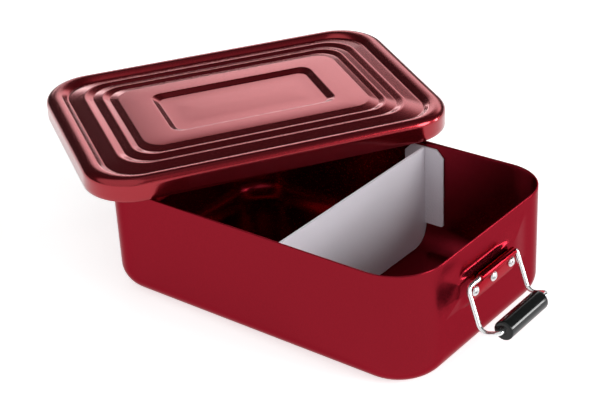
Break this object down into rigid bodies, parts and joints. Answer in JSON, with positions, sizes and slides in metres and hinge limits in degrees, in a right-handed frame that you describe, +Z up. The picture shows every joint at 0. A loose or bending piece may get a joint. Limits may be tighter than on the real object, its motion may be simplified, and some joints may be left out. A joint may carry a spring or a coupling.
{
  "type": "lunch box",
  "caption": "Shallow rectangular sheet-metal lunch box with rounded corners, a loose stepped lid, a sliding divider and wire bail clips with grips at both ends.",
  "frame": {"origin": "centre of the box's underside, on the table", "axes": "+Z up, +X along the box towards its right clip, -Y towards the long side that the lid leaves open in front"},
  "size_m": [0.3511, 0.2556, 0.0937],
  "materials": {
    "red_sheet": "satin red anodised",
    "red_lid": "glossy red anodised",
    "red_bracket": "glossy red anodised",
    "frosted_plastic": "frosted translucent",
    "rivet_metal": "satin",
    "bright_wire": "polished",
    "grip_plastic": "gloss black"
  },
  "bodies": {
    "box": {"box_body": "red_sheet", "bracket_right": "red_bracket", "bracket_left": "red_bracket", "rivet_right_1": "rivet_metal", "rivet_right_2": "rivet_metal", "rivet_right_3": "rivet_metal", "rivet_left_1": "rivet_metal", "rivet_left_2": "rivet_metal", "rivet_left_3": "rivet_metal"},
    "lid": {"lid": "red_lid"},
    "divider": {"divider": "frosted_plastic"},
    "bail_right": {"bail_right": "bright_wire"},
    "grip_right": {"grip_right": "grip_plastic"},
    "bail_left": {"bail_left": "bright_wire"},
    "grip_left": {"grip_left": "grip_plastic"}
  },
  "joints": [
    {"name": "lid_lift", "type": "slide", "parent": "box", "child": "lid", "axis": [0, 0, 1], "range_m": [0, 0.1]},
    {"name": "divider_slide", "type": "slide", "parent": "box", "child": "divider", "axis": [1, 0, 0], "range_m": [-0.094, 0.046]},
    {"name": "bail_right_swing", "type": "hinge", "parent": "box", "child": "bail_right", "pos_m": [0.1202, 0, 0.0501], "axis": [0, -1, 0], "range_deg": [-12, 157]},
    {"name": "grip_right_spin", "type": "hinge", "parent": "bail_right", "child": "grip_right", "pos_m": [0.14252, -0.0108, 0.03035], "axis": [0, -1, 0], "continuous": true},
    {"name": "bail_left_swing", "type": "hinge", "parent": "box", "child": "bail_left", "pos_m": [-0.1202, 0, 0.0501], "axis": [0, 1, 0], "range_deg": [-12, 157]},
    {"name": "grip_left_spin", "type": "hinge", "parent": "bail_left", "child": "grip_left", "pos_m": [-0.14252, 0.0108, 0.03035], "axis": [0, 1, 0], "continuous": true}
  ]
}
